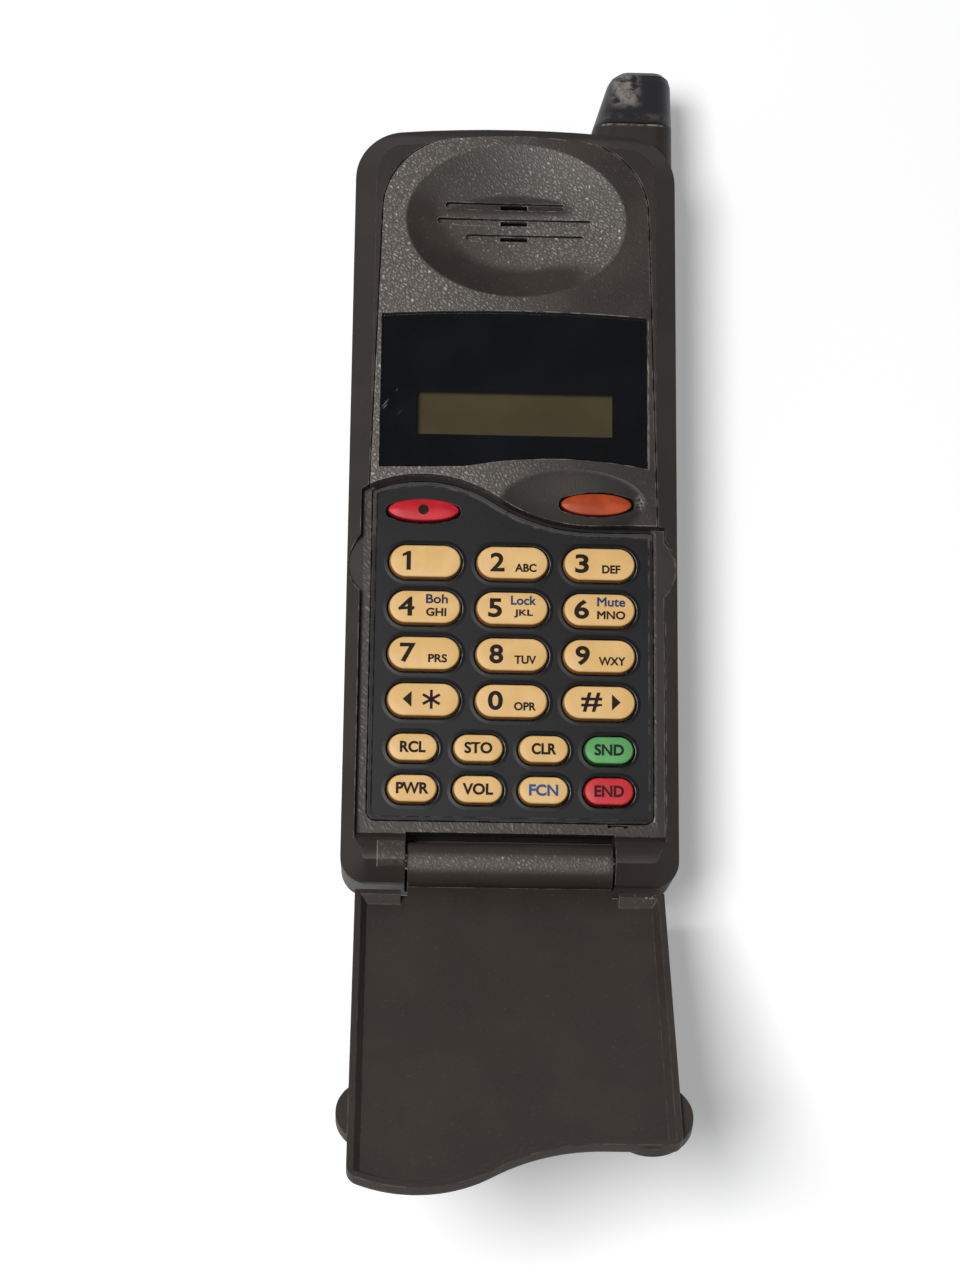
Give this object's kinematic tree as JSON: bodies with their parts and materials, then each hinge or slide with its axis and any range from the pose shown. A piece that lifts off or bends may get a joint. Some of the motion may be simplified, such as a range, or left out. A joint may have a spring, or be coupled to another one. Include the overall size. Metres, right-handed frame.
{
  "type": "flip phone",
  "caption": "Handheld flip phone with a shallow lower flip on a barrel hinge, rubber-keyed face, display lens, slide-out antenna and slide-on battery.",
  "frame": {"origin": "centre of the battery's flat back, which the phone lies on", "axes": "+Z out of the key face, +Y towards the antenna, +X to the right seen from the face"},
  "size_m": [0.06, 0.2153, 0.0595],
  "materials": {
    "housing_plastic": "moulded, satin",
    "grained_plastic": "moulded leather grain",
    "flip_plastic": "moulded, satin",
    "lens_plastic": "clear acrylic over dark print",
    "bezel_plastic": "moulded, fine matte",
    "key_rubber": "moulded, satin, printed legends",
    "green_key_rubber": "moulded, satin, printed legend",
    "red_key_rubber": "moulded, satin, printed legend",
    "red_plastic": "moulded, glossy",
    "orange_plastic": "moulded, glossy",
    "membrane_rubber": "moulded silicone",
    "cap_rubber": "moulded, matte",
    "whip_steel": "drawn wire",
    "turned_steel": "turned",
    "turned_brass": "turned",
    "guide_plastic": "extruded",
    "cam_plastic": "moulded",
    "magnet_alloy": "cast",
    "board_laminate": "solder mask",
    "shield_tin": "tinned sheet",
    "part_case": "moulded",
    "backlight_plastic": "moulded diffuser",
    "display_glass": "glass display",
    "foam_rubber": "cut foam",
    "can_aluminium": "drawn can",
    "battery_plastic": "moulded, satin"
  },
  "bodies": {
    "housing": {"front_housing": "housing_plastic", "face_panel": "grained_plastic", "display_lens": "lens_plastic", "keypad_bezel": "bezel_plastic", "keypad_membrane": "membrane_rubber", "rear_housing": "housing_plastic", "antenna_bush": "turned_brass", "antenna_tube": "guide_plastic", "hinge_shaft": "turned_steel", "housing_screws": "turned_steel", "logic_board": "board_laminate", "radio_board": "board_laminate", "shield_can": "shield_tin", "duplexer": "shield_tin", "board_connector": "part_case", "backlight": "backlight_plastic", "lcd_panel": "display_glass", "earpiece_speaker": "part_case", "earpiece_gasket": "foam_rubber", "microphone": "can_aluminium", "ringer": "part_case", "reed_switch": "display_glass", "antenna_socket": "turned_brass", "accessory_connector": "part_case", "contact_springs": "turned_brass"},
    "flip": {"flip_door": "flip_plastic", "flip_magnet": "magnet_alloy", "hinge_cam": "cam_plastic", "hinge_washers": "turned_steel"},
    "antenna": {"antenna_cap": "cap_rubber", "antenna_whip": "whip_steel", "antenna_stopper": "turned_brass"},
    "battery": {"battery_cover": "battery_plastic", "battery_case": "battery_plastic", "battery_cells": "can_aluminium", "battery_contacts": "turned_brass", "latch_spring": "turned_steel"},
    "latch": {"battery_latch": "battery_plastic"},
    "key_1": {"key_1": "key_rubber"},
    "key_2": {"key_2": "key_rubber"},
    "key_3": {"key_3": "key_rubber"},
    "key_4": {"key_4": "key_rubber"},
    "key_5": {"key_5": "key_rubber"},
    "key_6": {"key_6": "key_rubber"},
    "key_7": {"key_7": "key_rubber"},
    "key_8": {"key_8": "key_rubber"},
    "key_9": {"key_9": "key_rubber"},
    "key_star": {"key_star": "key_rubber"},
    "key_0": {"key_0": "key_rubber"},
    "key_hash": {"key_hash": "key_rubber"},
    "key_recall": {"key_recall": "key_rubber"},
    "key_store": {"key_store": "key_rubber"},
    "key_clear": {"key_clear": "key_rubber"},
    "key_send": {"key_send": "green_key_rubber"},
    "key_power": {"key_power": "key_rubber"},
    "key_volume": {"key_volume": "key_rubber"},
    "key_function": {"key_function": "key_rubber"},
    "key_end": {"key_end": "red_key_rubber"},
    "red_button": {"red_button": "red_plastic"},
    "orange_button": {"orange_button": "orange_plastic"}
  },
  "joints": [
    {"name": "flip_hinge", "type": "hinge", "parent": "housing", "child": "flip", "pos_m": [0, -0.048, 0.0217], "axis": [-1, 0, 0], "range_deg": [0, 146.1]},
    {"name": "antenna_slide", "type": "slide", "parent": "housing", "child": "antenna", "axis": [0, 1, 0], "range_m": [0, 0.0938]},
    {"name": "battery_slide", "type": "slide", "parent": "housing", "child": "battery", "axis": [0, -1, 0], "range_m": [0, 0.101]},
    {"name": "latch_slide", "type": "slide", "parent": "battery", "child": "latch", "axis": [0, -1, 0], "range_m": [0, 0.002], "stiffness_N_per_m": 300, "springref_m": -0.002},
    {"name": "key_1_press", "type": "slide", "parent": "housing", "child": "key_1", "axis": [0, 0, -1], "range_m": [0, 0.0008], "stiffness_N_per_m": 1200, "springref_m": -0.0004},
    {"name": "key_2_press", "type": "slide", "parent": "housing", "child": "key_2", "axis": [0, 0, -1], "range_m": [0, 0.0008], "stiffness_N_per_m": 1200, "springref_m": -0.0004},
    {"name": "key_3_press", "type": "slide", "parent": "housing", "child": "key_3", "axis": [0, 0, -1], "range_m": [0, 0.0008], "stiffness_N_per_m": 1200, "springref_m": -0.0004},
    {"name": "key_4_press", "type": "slide", "parent": "housing", "child": "key_4", "axis": [0, 0, -1], "range_m": [0, 0.0008], "stiffness_N_per_m": 1200, "springref_m": -0.0004},
    {"name": "key_5_press", "type": "slide", "parent": "housing", "child": "key_5", "axis": [0, 0, -1], "range_m": [0, 0.0008], "stiffness_N_per_m": 1200, "springref_m": -0.0004},
    {"name": "key_6_press", "type": "slide", "parent": "housing", "child": "key_6", "axis": [0, 0, -1], "range_m": [0, 0.0008], "stiffness_N_per_m": 1200, "springref_m": -0.0004},
    {"name": "key_7_press", "type": "slide", "parent": "housing", "child": "key_7", "axis": [0, 0, -1], "range_m": [0, 0.0008], "stiffness_N_per_m": 1200, "springref_m": -0.0004},
    {"name": "key_8_press", "type": "slide", "parent": "housing", "child": "key_8", "axis": [0, 0, -1], "range_m": [0, 0.0008], "stiffness_N_per_m": 1200, "springref_m": -0.0004},
    {"name": "key_9_press", "type": "slide", "parent": "housing", "child": "key_9", "axis": [0, 0, -1], "range_m": [0, 0.0008], "stiffness_N_per_m": 1200, "springref_m": -0.0004},
    {"name": "key_star_press", "type": "slide", "parent": "housing", "child": "key_star", "axis": [0, 0, -1], "range_m": [0, 0.0008], "stiffness_N_per_m": 1200, "springref_m": -0.0004},
    {"name": "key_0_press", "type": "slide", "parent": "housing", "child": "key_0", "axis": [0, 0, -1], "range_m": [0, 0.0008], "stiffness_N_per_m": 1200, "springref_m": -0.0004},
    {"name": "key_hash_press", "type": "slide", "parent": "housing", "child": "key_hash", "axis": [0, 0, -1], "range_m": [0, 0.0008], "stiffness_N_per_m": 1200, "springref_m": -0.0004},
    {"name": "key_recall_press", "type": "slide", "parent": "housing", "child": "key_recall", "axis": [0, 0, -1], "range_m": [0, 0.0008], "stiffness_N_per_m": 1200, "springref_m": -0.0004},
    {"name": "key_store_press", "type": "slide", "parent": "housing", "child": "key_store", "axis": [0, 0, -1], "range_m": [0, 0.0008], "stiffness_N_per_m": 1200, "springref_m": -0.0004},
    {"name": "key_clear_press", "type": "slide", "parent": "housing", "child": "key_clear", "axis": [0, 0, -1], "range_m": [0, 0.0008], "stiffness_N_per_m": 1200, "springref_m": -0.0004},
    {"name": "key_send_press", "type": "slide", "parent": "housing", "child": "key_send", "axis": [0, 0, -1], "range_m": [0, 0.0008], "stiffness_N_per_m": 1200, "springref_m": -0.0004},
    {"name": "key_power_press", "type": "slide", "parent": "housing", "child": "key_power", "axis": [0, 0, -1], "range_m": [0, 0.0008], "stiffness_N_per_m": 1200, "springref_m": -0.0004},
    {"name": "key_volume_press", "type": "slide", "parent": "housing", "child": "key_volume", "axis": [0, 0, -1], "range_m": [0, 0.0008], "stiffness_N_per_m": 1200, "springref_m": -0.0004},
    {"name": "key_function_press", "type": "slide", "parent": "housing", "child": "key_function", "axis": [0, 0, -1], "range_m": [0, 0.0008], "stiffness_N_per_m": 1200, "springref_m": -0.0004},
    {"name": "key_end_press", "type": "slide", "parent": "housing", "child": "key_end", "axis": [0, 0, -1], "range_m": [0, 0.0008], "stiffness_N_per_m": 1200, "springref_m": -0.0004},
    {"name": "red_button_press", "type": "slide", "parent": "housing", "child": "red_button", "axis": [0, 0, -1], "range_m": [0, 0.0008], "stiffness_N_per_m": 1200, "springref_m": -0.0004},
    {"name": "orange_button_press", "type": "slide", "parent": "housing", "child": "orange_button", "axis": [0, 0, -1], "range_m": [0, 0.0008], "stiffness_N_per_m": 1200, "springref_m": -0.0004}
  ]
}
